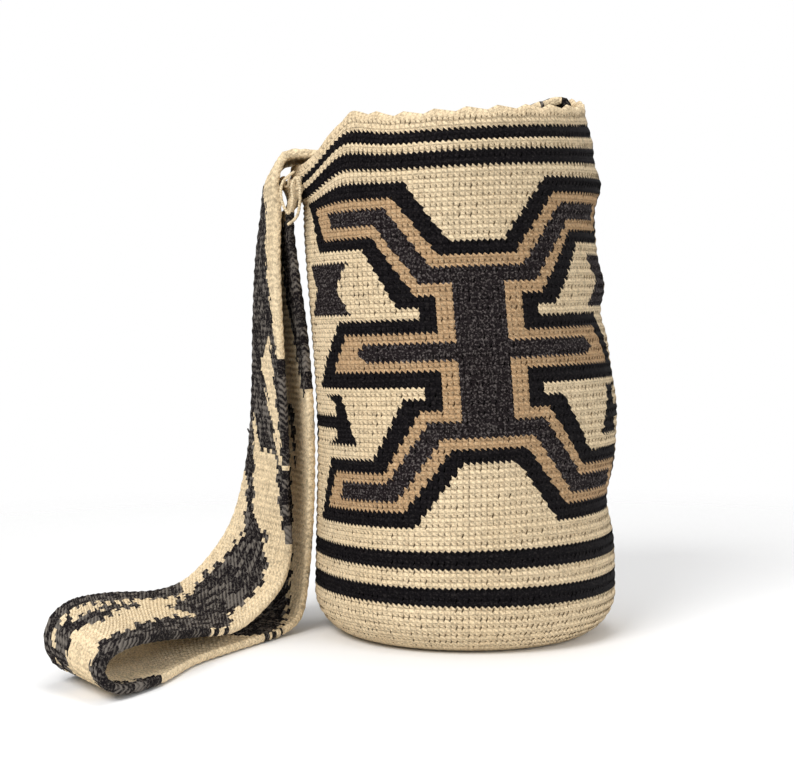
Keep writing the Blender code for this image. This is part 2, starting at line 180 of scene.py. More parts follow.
# The band's fields of wool: from and to in metres along it from the right seam, then the share of its width
# that each takes at its start and at its end, 0 at the near edge. Later fields lie over earlier ones.
BAND_FIELDS = (
    (BLACK, 0.000, 0.150, (0.74, 1.0), (0.82, 1.0)),
    (BLACK, 0.020, 0.120, (0.00, 0.12), (0.20, 0.30)),
    (BLACK, 0.222, 0.280, (0.62, 1.0), (0.36, 1.0)),
    (BLACK, 0.280, 0.325, (0.36, 1.0), (0.10, 1.0)),
    (BLACK, 0.325, 0.436, (0.00, 1.0), (0.00, 1.0)),
    (CREAM, 0.318, 0.394, (0.34, 0.62), (0.06, 0.14)),
    (CREAM, 0.362, 0.400, (0.84, 0.90), (0.20, 0.66)),
    (CREAM, 0.400, 0.436, (0.20, 0.66), (0.08, 0.40)),
    (CREAM, 0.405, 0.436, (0.88, 1.0), (0.72, 1.0)),
    (BLACK, 0.436, 0.470, (0.42, 0.74), (0.24, 0.84)),
    (BLACK, 0.470, 0.530, (0.24, 0.84), (0.22, 0.54)),
    (BLACK, 0.495, 0.700, (0.80, 1.0), (0.90, 1.0)),
    (BLACK, 0.515, 0.550, (0.10, 0.30), (0.00, 0.34)),
    (BLACK, 0.550, 0.612, (0.00, 0.34), (0.00, 0.24)),
    (BLACK, 0.612, 0.700, (0.00, 0.20), (0.00, 0.08)),
    (BLACK, 0.548, 0.592, (0.64, 0.70), (0.66, 0.71)),
    (BLACK, 0.590, 0.625, (0.58, 0.64), (0.50, 0.70)),
    (BLACK, 0.625, 0.662, (0.56, 0.74), (0.66, 0.84)),
    (BLACK, 0.740, 0.800, (0.92, 1.0), (0.78, 1.0)),
    (BLACK, 0.815, 0.880, (0.00, 0.62), (0.24, 1.0)),
    (BLACK, 0.880, 0.985, (0.25, 1.0), (0.55, 1.0)),
    (CREAM, 0.905, 0.985, (0.00, 0.16), (0.84, 1.0)),
    (BLACK, 1.005, 1.060, (0.00, 0.10), (0.00, 0.42)),
    (BLACK, 1.060, 1.112, (0.00, 0.42), (0.00, 0.32)),
)

# How wool is drawn: the scale of each unevenness, the part of it that counts, and how much it shows
MOTTLES, MOTTLE_SPREAD, DEEP_SHARE = 760.0, (0.44, 0.62), 0.60
PATCHES, PATCH_SPREAD, PATCH_SHOW = 26.0, (0.42, 0.72), 0.30
PATCH_TINT = (0.86, 0.80, 0.70, 1.0)
FLECKS, FLECK_SPREAD = 820.0, (0.52, 0.62)
# The pits are painted shade: spots of shaded cream in the small holes at the corners of the stitches
PITS, PIT_SPREAD, PIT_SHADE_COLOUR = 420.0, (1.35, 2.5), (0.16, 0.12, 0.085, 1.0)
PIT_EVEN = 0.3
PALE_GAIN, PALE_LIFT, PALE_SHOW = 1.16, 0.004, 0.55
MARL_SWING, MARL_SPREAD = 0.25, (0.55, 1.0)
FIBRES = 1700.0
BUMP_STRENGTH, BUMP_HEIGHT = 0.55, 0.0005
ROUGHNESS, ROUGHNESS_SWING = 0.84, 0.16
GREY = (0.19, 0.165, 0.155)
CORD_GREY = (0.17, 0.15, 0.13)

# The floor, the lamps with their place, aim, size and power, and the camera
FLOOR_HALF, FLOOR_DROP, FLOOR_FADE = 1.6, 0.0002, (0.35, 0.85)
FLOOR_COLOUR = (0.93, 0.93, 0.93, 1.0)
LAMPS = {
    "key_light": ((-0.9, -1.5, 1.5), (-0.05, 0.0, 0.15), 1.1, 36.0),
    "fill_light": ((1.5, -1.2, 0.9), (-0.05, 0.0, 0.15), 1.4, 14.0),
    "top_light": ((0.0, 0.3, 1.8), (-0.05, 0.0, 0.1), 1.2, 10.0),
}
WHITE = (1.0, 1.0, 1.0, 1.0)
ROOM_LIGHT = 0.46
PICTURE_WIDTH = 794
FOCAL_PIXELS = 1663.0
CAMERA_AT = (-0.042, -1.024, 0.1945)
CAMERA_DOWN = 2.41


def ease(value, low, high):
    """A smooth step from 0 at low to 1 at high."""
    share = min(max((value - low) / (high - low), 0.0), 1.0)
    return share * share * (3.0 - 2.0 * share)


def swell(value, middle, spread):
    """A smooth hump that is 1 at its middle."""
    return math.exp(-(((value - middle) / spread) ** 2))


def bent(value, ends, low, high):
    """A straight change from low to high between two ends."""
    start, end = ends
    share = min(max((value - start) / (end - start), 0.0), 1.0)
    return low + share * (high - low)


def wrapped(degrees):
    """The angle between -180 and 180 degrees."""
    return (degrees + 180.0) % 360.0 - 180.0


def rim_height(degrees):
    """The height of the rim, without its scallops."""
    angle = wrapped(degrees)
    height = MIDDLE_HEIGHT + ROUND_PITCH * ROUNDS_ABOVE + RIM_LIFT
    height += RIM_SWING * math.cos(math.radians(angle - RIM_SWING_AT))
    height += RIM_PEAK * swell(angle, RIM_PEAK_AT, RIM_PEAK_SPREAD)
    height += RIM_FOLD * swell(angle, RIM_FOLD_AT, RIM_FOLD_SPREAD)
    height -= RIM_DROOP * (1.0 - ease(abs(wrapped(angle - RIM_DROOP_AT)), DROOP_FLAT, DROOP_END))
    return height


def scallop(degrees):
    """The height of the rim's small waves, each steep on its left. The band presses them flat."""
    share = (degrees / 360.0 * SCALLOPS) % 1.0
    side = share / SCALLOP_PEAK if share < SCALLOP_PEAK else (1.0 - share) / (1.0 - SCALLOP_PEAK)
    return SCALLOP_HEIGHT * side * ease(abs(wrapped(degrees - LEFT_SEAM)), DROOP_FLAT, DROOP_END)


def round_height(degrees, rounds):
    """The height of a round of stitches on the wall."""
    level = MIDDLE_HEIGHT + ROUND_TILT * math.sin(math.radians(degrees))
    height = level - ROUND_PITCH * rounds
    rest = rim_height(degrees) - (level + ROUND_PITCH * ROUNDS_ABOVE)
    share = ease(-rounds, RIM_FOLLOW * ROUNDS_ABOVE, ROUNDS_ABOVE)
    edge = ease(-rounds, ROUNDS_ABOVE - SCALLOP_ROUNDS, ROUNDS_ABOVE)
    return height + rest * share + scallop(degrees) * edge


def lean_at(height):
    """How far the body leans to the left at a height."""
    return -LEAN * ease(height, LEAN_FROM, LEAN_TO)


def wall_radius(degrees, height, rounds):
    """The outer radius of the wall, with its dents, its waves and the pulled rim."""
    angle = wrapped(degrees)
    turn = math.radians(angle)
    radius = BODY_RADIUS - BODY_TAPER * height
    window = swell(angle, DENT_AT, DENT_SPREAD)
    radius += window * sum(depth * swell(height, at, spread) for at, depth, spread in DENTS)
    above_base = ease(height, 0.0, 2.0 * BASE_CORNER)
    for share, count, start, slant in WAVES:
        radius += above_base * share * WAVE * math.sin(count * turn + start + slant * height)
    flare = swell(angle, LEFT_SEAM, RIM_FLARE_SPREAD)
    radius -= RIM_PINCH * (1.0 - flare) * ease(-rounds, ROUNDS_ABOVE - PINCH_ROUNDS, ROUNDS_ABOVE)
    begin, full = FLARE_ROUNDS
    radius += RIM_FLARE * flare * ease(-rounds, ROUNDS_ABOVE - begin, ROUNDS_ABOVE - full)
    return radius


def corner_rounds():
    """The rounds at which the wall turns into the corner, and the corner into the base."""
    start = (MIDDLE_HEIGHT - BASE_CORNER) / ROUND_PITCH
    return start, start + BASE_CORNER * math.pi / 2.0 / ROUND_PITCH


CORNER_START, CORNER_END = corner_rounds()
BASE_ROUNDS = (BODY_RADIUS - BASE_CORNER) / ROUND_PITCH


def body_point(degrees, rounds, depth=0.0):
    """A point of the body, depth metres inside its outer face."""
    start, end = CORNER_START, CORNER_END
    turn = math.radians(degrees)
    if rounds <= start:
        height = round_height(degrees, rounds)
        height += (BASE_CORNER - round_height(degrees, start)) * ease(rounds, FOOT_FOLLOW * start, start)
        radius = wall_radius(degrees, height, rounds) - depth
    else:
        foot = wall_radius(degrees, BASE_CORNER, start)
        bend = (min(rounds, end) - start) * ROUND_PITCH / BASE_CORNER
        inner = BASE_CORNER - depth
        height = BASE_CORNER - inner * math.sin(bend)
        radius = foot - BASE_CORNER + inner * math.cos(bend)
        if rounds > end:
            radius = max(foot - BASE_CORNER - (rounds - end) * ROUND_PITCH, 0.0)
    return Vector((lean_at(height) + radius * math.sin(turn), -radius * math.cos(turn), height))


def in_figure(level, across, rounds):
    """Whether a stitch lies within one outline of the main figure: 0 core, 1 tan, 2 black."""
    out, up = abs(across), abs(rounds)
    top = bent(out, TOP_BEND[level], WAIST[level], ARM_TOP[level])
    under = bent(out, UNDER_BEND[level], SHOULDER_UNDER[level], ARM_UNDER[level])
    reach, slope = ARM_REACH[level]
    in_arm = under <= up <= top and out <= reach + slope * up
    reach, slope = MIDDLE_REACH[level]
    tip = reach + slope * (up if level == 0 else rounds)
    in_middle = up <= MIDDLE_HALF[level] and out <= tip
    return in_arm or in_middle or (out <= BAR[level] and up <= top)


def in_moth(across, rounds):
    """The small figure between the upper arms: two triangles that meet at a waist."""
    high = abs(rounds - MOTH_ROUND)
    wide = MOTH_WAIST + MOTH_WING * high / MOTH_HALF
    return high <= MOTH_HALF and abs(abs(across) - MOTH_AT) <= wide


def in_ladder(across, rounds):
    """The three-legged figure between the lower arms, midway between two main figures."""
    top, foot = LADDER_ROUNDS
    if not top <= rounds <= foot:
        return False
    share = (rounds - top) / (foot - top)
    off = STITCHES / FIGURES / 2.0 - abs(across)
    inner, outer = LADDER_LEG
    leg = inner <= off <= outer + LADDER_SPLAY * share
    tips = LADDER_FOOT + LADDER_FOOT_SLOPE * min(share, 1.0 - share) <= off <= inner
    rung = LADDER_RUNG[0] <= rounds <= LADDER_RUNG[1] and off <= inner
    return leg or tips or rung or off <= LADDER_MIDDLE


def wool_at(degrees, rounds):
    """Which wool a stitch of the body has. The pattern is pressed a little lower above the middle."""
    if rounds < 0.0:
        rounds *= UPPER_PRESS
    if any(top < rounds < foot for top, foot in STRIPES):
        return BLACK
    span = STITCHES / FIGURES
    stitch = (degrees - FIGURE_AT) / 360.0 * STITCHES
    across = (stitch + span / 2.0) % span - span / 2.0
    for level, outline_wool in enumerate(OUTLINES):
        if in_figure(level, across, rounds):
            return outline_wool
    if in_moth(across, rounds):
        return BROWN
    return BLACK if in_ladder(across, rounds) else CREAM


def add_node(tree, kind, **values):
    """A shader node with its properties and its unlinked inputs set."""
    node = tree.nodes.new(kind)
    for name, value in values.items():
        if hasattr(node, name):
            setattr(node, name, value)
        else:
            node.inputs[name.replace("_", " ")].default_value = value
    return node


def feed(tree, sockets, values):
    """Give each socket its value, which is a link or a plain value."""
    for socket, value in zip(sockets, values):
        if isinstance(value, bpy.types.NodeSocket):
            tree.links.new(value, socket)
        else:
            socket.default_value = value


def blend_colours(tree, kind, share, first, second):
    """A colour mixed from two."""
    node = add_node(tree, "ShaderNodeMix", data_type="RGBA", blend_type=kind)
    feed(tree, (node.inputs[0], node.inputs[6], node.inputs[7]), (share, first, second))
    return node.outputs[2]


def number(tree, kind, first, second=0.0):
    """A number worked out from one or two others."""
    node = add_node(tree, "ShaderNodeMath", operation=kind)
    feed(tree, node.inputs, (first, second))
    return node.outputs[0]


def times(tree, first, second):
    """A product."""
    return number(tree, "MULTIPLY", first, second)


def plus(tree, first, second):
    """A sum."""
    return number(tree, "ADD", first, second)


def wave_of(tree, value):
    """A wave that is 1 at each whole number."""
    return number(tree, "COSINE", times(tree, value, 2.0 * math.pi))


def noise(tree, vector, scale, detail=3.0):
    """A cloudy unevenness between 0 and 1."""
    node = add_node(tree, "ShaderNodeTexNoise", Scale=scale, Detail=detail)
    tree.links.new(vector, node.inputs["Vector"])
    return node.outputs["Fac"]


def spread_of(tree, value, low, high):
    """A value stretched so that low becomes 0 and high becomes 1."""
    node = add_node(tree, "ShaderNodeMapRange", From_Min=low, From_Max=high)
    tree.links.new(value, node.inputs["Value"])
    return node.outputs["Result"]


def fibre_colour(tree, place, shade, colour, pale, fleck, fleck_share):
    """The colour of the fibres: mottled, paler on some stitches, dull in patches, with flecks of another."""
    deep = (*(DEEP_SHARE * part for part in colour), 1.0)
    mottles = spread_of(tree, noise(tree, place, MOTTLES), *MOTTLE_SPREAD)
    mottled = blend_colours(tree, "MIX", mottles, (*colour, 1.0), deep)
    worn = blend_colours(tree, "MIX", times(tree, shade, PALE_SHOW), mottled, pale)
    patches = spread_of(tree, noise(tree, place, PATCHES, 2.0), *PATCH_SPREAD)
    dulled = blend_colours(tree, "MULTIPLY", times(tree, patches, PATCH_SHOW), worn, PATCH_TINT)
    flecks = spread_of(tree, noise(tree, place, FLECKS, 4.0), *FLECK_SPREAD)
    return blend_colours(tree, "MIX", times(tree, flecks, fleck_share), dulled, (*fleck, 1.0))


def shaded_pits_between(tree, place, along, up):
    """Painted shade in the small holes at the corners of the stitches, where the dark inside of the cloth
    also shows: small uneven spots.
    """
    column = wave_of(tree, plus(tree, along, times(tree, up, 0.5)))
    corner = times(tree, plus(tree, column, 1.0), plus(tree, wave_of(tree, up), 1.0))
    uneven = plus(tree, times(tree, noise(tree, place, PITS), 1.0 - PIT_EVEN), PIT_EVEN)
    return spread_of(tree, times(tree, corner, uneven), *PIT_SPREAD)


def wool(name, colour, fleck, fleck_share, pit_shade=0.0, plies=2.0, twist_height=0.22, marl=False, sheen=0.10):
    """Spun wool with its fibres, the painted shade in the pits between its stitches, its twist and its fuzz.
    """
    material = bpy.data.materials.new(name)
    material.use_nodes = True
    tree = material.node_tree
    shader = tree.nodes["Principled BSDF"]
    place = add_node(tree, "ShaderNodeTexCoord").outputs["Object"]
    shade = add_node(tree, "ShaderNodeAttribute", attribute_name="shade").outputs["Fac"]
    grid = add_node(tree, "ShaderNodeAttribute", attribute_name="stitch")
    parts = add_node(tree, "ShaderNodeSeparateXYZ")
    tree.links.new(grid.outputs["Vector"], parts.inputs[0])
    along, up = parts.outputs[0], parts.outputs[1]

    pale = (*(min(1.0, PALE_GAIN * part + PALE_LIFT) for part in colour), 1.0)
    mixed = fibre_colour(tree, place, shade, colour, pale, fleck, fleck_share)
    # Painted shade in the holes at the corners of the stitches
    if pit_shade:
        spots = shaded_pits_between(tree, place, along, up)
        mixed = blend_colours(tree, "MIX", times(tree, spots, pit_shade), mixed, PIT_SHADE_COLOUR)
    twist = plus(tree, times(tree, along, plies), up)
    strands = number(tree, "SINE", times(tree, twist, 4.0 * math.pi))
    if marl:
        second = spread_of(tree, plus(tree, shade, times(tree, strands, MARL_SWING)), *MARL_SPREAD)
        mixed = blend_colours(tree, "MIX", second, mixed, (*fleck, 1.0))
    tree.links.new(mixed, shader.inputs["Base Color"])

    fibres = noise(tree, place, FIBRES, 4.0)
    bump = add_node(tree, "ShaderNodeBump", Strength=BUMP_STRENGTH, Distance=BUMP_HEIGHT)
    tree.links.new(plus(tree, times(tree, strands, twist_height), fibres), bump.inputs["Height"])
    tree.links.new(bump.outputs["Normal"], shader.inputs["Normal"])
    rough = plus(tree, times(tree, fibres, ROUGHNESS_SWING), ROUGHNESS)
    tree.links.new(rough, shader.inputs["Roughness"])
    shader.inputs["Specular IOR Level"].default_value = 0.10
    shader.inputs["Sheen Weight"].default_value = sheen
    shader.inputs["Sheen Roughness"].default_value = 0.6
    shader.inputs["Sheen Tint"].default_value = pale
    return material


class Cloth:
    """A mesh while it is made: points with their places in stitches, faces with their wool and shade."""

    def __init__(self):
        self.points, self.places = [], []
        self.faces, self.wools, self.shades = [], [], []

    def add_points(self, points, places):
        """Add points, and give the number of the first."""
        first = len(self.points)
        self.points += points
        self.places += places
        return first

    def add_face(self, corners, wool_there=0, shade=0.5):
        """Add a face."""
        self.faces.append(corners)
        self.wools.append(wool_there)
        self.shades.append(shade)

    def join(self, low, high, wools, shades):
        """Join two rings of points by a ring of faces, one for each wool and shade."""
        for spot, (wool_there, shade) in enumerate(zip(wools, shades)):
            after = (spot + 1) % len(wools)
            self.add_face((low + spot, low + after, high + after, high + spot), wool_there, shade)

    def make_piece(self, name, materials):
        """The mesh as a piece that rides on the bag."""
        mesh = bpy.data.meshes.new(name)
        mesh.from_pydata(self.points, [], self.faces)
        for material in materials:
            mesh.materials.append(material)
        mesh.polygons.foreach_set("material_index", self.wools)
        mesh.attributes.new("shade", "FLOAT", "FACE").data.foreach_set("value", self.shades)
        flat = [part for along, up in self.places for part in (along, up, 0.0)]
        mesh.attributes.new("stitch", "FLOAT_VECTOR", "POINT").data.foreach_set("vector", flat)
        mesh.shade_smooth()
        mesh.update()
        piece = bpy.data.objects.new(name, mesh)
        bpy.context.collection.objects.link(piece)
        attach(piece, "root")
        return piece


def stitch_point(half, level):
    """A point of the stitched outer face. Every second line of stitches is drawn up into a tooth."""
    rounds = -ROUNDS_ABOVE + level / 2.0
    hold = ease(rounds, -ROUNDS_ABOVE, -ROUNDS_ABOVE + RIM_CALM)
    hold *= 1.0 - ease(rounds, CORNER_END - FOOT_CALM, CORNER_END)
    tooth = TOOTH * (0.5 if half % 2 else -0.5)
    lean = STAGGER if level % 2 else -STAGGER
    lean -= 0.0 if half % 2 else TOOTH_LEAN
    lean += RANDOM.uniform(-STITCH_WANDER, STITCH_WANDER)
    degrees = STITCH_TURN * (half / 2.0 + lean * hold)
    rise = STITCH_RISE * STITCH_RISES[level % 2][(half + level // 2) % 2]
    rise += RANDOM.uniform(-STITCH_JITTER, STITCH_JITTER)
    calmed = rise * (CALM_RISE + (1.0 - CALM_RISE) * hold)
    return body_point(degrees, min(rounds + tooth * hold, CORNER_END), -calmed)


def add_outer_face(cloth, levels, tones):
    """The stitched outer face, ring by ring from the base's edge up to the rim. Gives its last ring."""
    below = None
    for level in range(levels, -1, -1):
        ring = [stitch_point(half, level) for half in range(HALVES)]
        here = cloth.add_points(ring, [(half / 2.0, level / 2.0) for half in range(HALVES)])
        if below is not None:
            rounds = -ROUNDS_ABOVE + (level + 0.5) / 2.0
            wools = [wool_at(HALF_TURN * (half + 0.5), rounds) for half in range(HALVES)]
            cloth.join(below, here, wools, [tones[level // 2][half // 2] for half in range(HALVES)])
        below = here
    return below


def add_crest(cloth, rim, tones):
    """The rounded top of the rim, up to the middle of the wall."""
    lift = Vector((0.0, 0.0, CREST_LIFT))
    ring = [body_point(HALF_TURN * half, -ROUNDS_ABOVE, 0.5 * CLOTH) + lift for half in range(HALVES)]
    crest = cloth.add_points(ring, [(half / 2.0, 0.0) for half in range(HALVES)])
    cloth.join(rim, crest, [CREAM] * HALVES, [tones[half // 2] for half in range(HALVES)])
    return crest


def inner_point(stitch, rounds, count):
    """A point of the inner face, which has a softer grain than the outer one."""
    return body_point(STITCH_TURN * stitch, rounds, CLOTH + INNER_GRAIN[(stitch + count) % 2])


def add_inner_face(cloth, crest):
    """The inner face in wide steps, from the rim down to the base's edge. Gives its last ring."""
    levels = [-ROUNDS_ABOVE + 0.5]
    while levels[-1] + INNER_EVERY < CORNER_END:
        levels.append(levels[-1] + INNER_EVERY)
    levels.append(CORNER_END)
    rings = []
    for count, rounds in enumerate(levels):
        ring = [inner_point(stitch, rounds, count) for stitch in range(STITCHES)]
        rings.append(cloth.add_points(ring, [(stitch, INNER_ROUND * count) for stitch in range(STITCHES)]))
    for place in range(len(levels) - 1):
        middle = 0.5 * (levels[place] + levels[place + 1])
        wools = [wool_at(STITCH_TURN * (stitch + 0.5), middle) for stitch in range(STITCHES)]
        shades = [INNER_SHADE * RANDOM.random() for _ in range(STITCHES)]
        cloth.join(rings[place], rings[place + 1], wools, shades)
    for stitch in range(STITCHES):
        after = (stitch + 1) % STITCHES
        edge = [crest + (2 * stitch + step) % HALVES for step in range(3)]
        cloth.add_face((*edge, rings[0] + after, rings[0] + stitch), CREAM)
    return rings[-1]


def add_disc(cloth, start, count, depth):
    """A disc of rounds that narrows to the middle of the base. At depth 0 it faces down and has a grain."""
    below = start
    for ring in range(1, DISC_RINGS):
        rounds = CORNER_END + BASE_ROUNDS * ring / DISC_RINGS
        line = [body_point(360.0 * spot / count, rounds, depth) for spot in range(count)]
        for spot, point in enumerate(line):
            if not depth:
                point.z += BASE_GRAIN * (0.5 + 0.5 * math.cos(math.pi * spot * STITCHES / count))
            point.z = max(point.z, 0.0)
        here = cloth.add_points(line, [(spot * STITCHES / count, ring * DISC_ROUND) for spot in range(count)])
        for spot in range(count):
            after = (spot + 1) % count
            corners = (below + spot, below + after, here + after, here + spot)
            cloth.add_face(corners if depth else corners[::-1], CREAM, RANDOM.random())
        below = here
    middle = cloth.add_points([Vector((0.0, 0.0, depth))], [(0.0, 0.0)])
    for spot in range(count):
        corners = (below + spot, below + (spot + 1) % count, middle)
        cloth.add_face(corners if depth else corners[::-1], CREAM)


def make_body(wools):
    """The crocheted body: its outer face, its crest, its inner face and the two faces of its base."""
    levels = round(2.0 * (CORNER_END + ROUNDS_ABOVE))
    tones = [[RANDOM.random() for _ in range(STITCHES)] for _ in range(levels // 2 + 2)]
    cloth = Cloth()
    rim = add_outer_face(cloth, levels, tones)
    crest = add_crest(cloth, rim, tones[0])
    inner_foot = add_inner_face(cloth, crest)
    add_disc(cloth, inner_foot, STITCHES, CLOTH)
    add_disc(cloth, 0, HALVES, 0.0)
    piece = cloth.make_piece("crocheted_body", wools)
    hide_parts("bag_body")


def across_band():
    """The places of the cords' edges across the band, from its middle."""
    half = BAND_WIDTH / 2.0
    return [-half + BAND_WIDTH * step / CORDS for step in range(CORDS + 1)]


def free_row(middle, turn, tilt=0.0):
    """Points across the band where it hangs or lies free. The far edge is turned to the left."""
    turn, tilt = math.radians(turn), math.radians(tilt)
    wide = Vector((-math.sin(turn) * math.cos(tilt), math.cos(turn) * math.cos(tilt), math.sin(tilt)))
    return [Vector(middle) + wide * reach for reach in across_band()]


def seat_row(seam, rounds, lift):
    """Points across the band where it lies on the body. A lift below zero is inside the wall."""
    side = 1.0 if math.cos(math.radians(seam - RIGHT_SEAM)) > 0.0 else -1.0
    angles = [seam + side * math.degrees(reach / BODY_RADIUS) for reach in across_band()]
    return [body_point(angle, rounds, -lift) for angle in angles]


def beside(rounds, out, ahead, turn, tilt=0.0):
    """A row that hangs beside the left of the body, out metres from the wall."""
    wall = body_point(LEFT_SEAM, rounds)
    return free_row((wall.x - out, -ahead, wall.z), turn, tilt)


def on_floor(left, ahead, height, turn, tilt=0.0):
    """A row that lies on or near the floor, left metres from the foot of the wall."""
    return free_row((-BODY_RADIUS - left, -ahead, height), turn, tilt)


def seam_rounds():
    """The round at which the left end of the band stops, and the one that the right end starts from."""
    edge = SEAM_FROM_RIM / ROUND_PITCH - ROUNDS_ABOVE
    return edge, edge + BAND_LAP / ROUND_PITCH


def band_rows():
    """The rows that guide the band, from its sewn end at the right to its sewn end at the left."""
    half = BAND_THICKNESS / 2.0
    top, foot = seam_rounds()
    inside, outside = -(CLOTH + GAP + half), GAP + half
    over_seam = GAP + BAND_THICKNESS + SEAM_CLEAR + YARN + 3.0 * GAP + half
    right = body_point(RIGHT_SEAM, -ROUNDS_ABOVE, CLOTH + half)
    left = body_point(LEFT_SEAM, -ROUNDS_ABOVE)
    flat = half + GAP
    return [
        seat_row(RIGHT_SEAM, foot, inside),
        seat_row(RIGHT_SEAM, 0.5 * (foot + top), inside - 0.0004),
        seat_row(RIGHT_SEAM, top, inside - 0.0022),
        free_row(right + Vector((-0.0115, -0.001, -0.0040)), 14.0),
        free_row(right + Vector((-0.0230, -0.003, -0.0060)), 11.0),
        free_row(right + Vector((-0.0500, -0.009, -0.0170)), 6.0),
        free_row((right.x - 0.085, 0.009, left.z + 0.009), 3.0),
        free_row((left.x + 0.042, 0.004, left.z + 0.004), 2.0),
        free_row((left.x + 0.016, 0.002, left.z + half + 0.0032), 1.0),
        free_row((left.x + 0.002, 0.001, left.z + half + 0.0036), 2.0),
        free_row((left.x - 0.6 * over_seam, 0.001, left.z + half + 0.0002), 6.0),
        beside(-46.0, over_seam + 0.0012, -0.001, 9.0),
        beside(-36.0, 0.0205, -0.002, 12.0),
        beside(-22.0, 0.0240, -0.002, 15.0),
        beside(-8.0, 0.0275, -0.002, 18.0),
        beside(8.0, 0.0300, -0.001, 21.0),
        beside(22.0, 0.0310, 0.001, 25.0),
        beside(34.0, 0.0330, 0.005, 31.0),
        on_floor(0.0340, 0.008, 0.0580, 42.0, 3.0),
        on_floor(0.0420, 0.016, 0.0385, 55.0, 6.0),
        on_floor(0.0540, 0.034, 0.0260, 58.0, 9.0),
        on_floor(0.0680, 0.061, 0.0215, 61.0, 15.0),
        on_floor(0.0870, 0.100, 0.0265, 64.0, 16.0),
        on_floor(0.1000, 0.138, 0.0310, 54.0, 13.0),
        on_floor(0.1070, 0.163, 0.0320, 44.0, 11.0),
        on_floor(0.1125, 0.176, 0.0280, 39.0, 10.0),
        on_floor(0.1145, 0.180, 0.0190, 38.0, 8.0),
        on_floor(0.1105, 0.174, 0.0095, 40.0, 5.0),
        on_floor(0.1040, 0.162, flat + 0.0023, 44.0, 2.0),
        on_floor(0.0950, 0.138, flat + 0.0006, 51.0),
        on_floor(0.0870, 0.098, flat + 0.0003, 60.0),
        on_floor(0.0720, 0.066, flat + 0.0003, 62.0),
        on_floor(0.0560, 0.036, flat + 0.0003, 62.0),
        on_floor(0.0430, 0.013, flat + 0.0016, 58.0, 1.0),
        on_floor(0.0310, -0.004, 0.0120, 48.0, 3.0),
        on_floor(0.0230, -0.012, 0.0300, 36.0, 3.0),
        beside(43.0, 0.0180, -0.013, 28.0),
        beside(28.0, 0.0140, -0.011, 21.0),
        beside(12.0, 0.0130, -0.008, 18.0),
        beside(-4.0, 0.0130, -0.006, 17.0),
        beside(-18.0, 0.0140, -0.005, 16.0),
        beside(-29.0, 0.0135, -0.004, 12.0),
        beside(-37.0, 0.0080, -0.002, 5.0),
        seat_row(LEFT_SEAM, foot, outside + 0.0008),
        seat_row(LEFT_SEAM, 0.5 * (foot + top), outside + 0.0004),
        seat_row(LEFT_SEAM, top, outside),
    ]


def around(items, place):
    """The item before a place, the two that it lies between, and the one beyond, held at the ends."""
    return items[max(place - 1, 0)], items[place], items[place + 1], items[min(place + 2, len(items) - 1)]


def between(before, here, after, beyond, t):
    """The point at the share t of the way from here to after, on a smooth curve through all four."""
    bend = 2.0 * before - 5.0 * here + 4.0 * after - beyond
    twist = 3.0 * here - before - 3.0 * after + beyond
    return 0.5 * (2.0 * here + (after - before) * t + bend * t * t + twist * t * t * t)


def smooth_rows(rows):
    """Rows read along one smooth surface through the guide rows."""
    smooth = []
    middle = CORDS // 2
    for place in range(len(rows) - 1):
        guides = around(rows, place)
        steps = max(1, round((guides[2][middle] - guides[1][middle]).length / BAND_STEP))
        for step in range(steps):
            smooth.append([between(*points, step / steps) for points in zip(*guides)])
    smooth.append(rows[-1])
    return smooth


def row_normals(rows):
    """The direction out of the band's upper face at each point."""
    normals = []
    for place, row in enumerate(rows):
        before, after = rows[max(place - 1, 0)], rows[min(place + 1, len(rows) - 1)]
        line = []
        for split in range(len(row)):
            along = after[split] - before[split]
            wide = row[min(split + 1, len(row) - 1)] - row[max(split - 1, 0)]
            line.append(along.cross(wide).normalized())
        normals.append(line)
    return normals


def stitch_share(cord, dash):
    """A number from 0 to 1 for one stitch of the band, in no order that the eye can follow."""
    return (43758.5 * math.sin(12.99 * cord + 78.23 * dash)) % 1.0


def band_wool(metres, cord, dash):
    """The wool of a cord at a place along the band, from the pointed fields laid one over another."""
    across = (cord + 0.5) / CORDS
    ragged = metres + FIELD_JAG * math.sin(12.9 * cord)
    reach = dash % 2 * FIELD_REACH
    wool_there = CREAM
    for field_wool, start, end, first, last in BAND_FIELDS:
        if start <= ragged < end:
            share = (ragged - start) / (end - start)
            low = first[0] + share * (last[0] - first[0])
            high = first[1] + share * (last[1] - first[1])
            if low - reach <= across <= high + reach:
                wool_there = field_wool
    return wool_there


def band_ring(row, normals, metres, length, starts):
    """The points of one ring round the band, over its cords and back under them, with their places."""
    core = BAND_THICKNESS / 2.0 - CORD_RISE
    full = ease(metres, -TIP_FROM, TIP_TO) * (1.0 - ease(metres, length - TIP_TO, length + TIP_FROM))
    upper, under, upper_at, under_at = [], [], [], []
    for split in range(SPLITS + 1):
        cord = min(split // CORD_PARTS, CORDS - 1)
        share = split / CORD_PARTS - cord
        middle = row[cord].lerp(row[cord + 1], share)
        out = normals[cord].lerp(normals[cord + 1], share).normalized()
        swing = CORD_SWING * math.sin(2.0 * math.pi * metres / CORD_TURN + starts[cord])
        edge = BAND_EDGE if split in (0, SPLITS) else 1.0
        half = edge * (core + (CORD_RISE + swing) * math.sin(math.pi * share))
        half *= BAND_TIP + (1.0 - BAND_TIP) * full
        upper.append(middle + out * half)
        under.append(middle - out * half)
        upper_at.append((split / CORD_PARTS, metres / CORD_TURN))
        under_at.append((split / CORD_PARTS + 0.5, metres / CORD_TURN))
    return upper + under[::-1], upper_at + under_at[::-1]


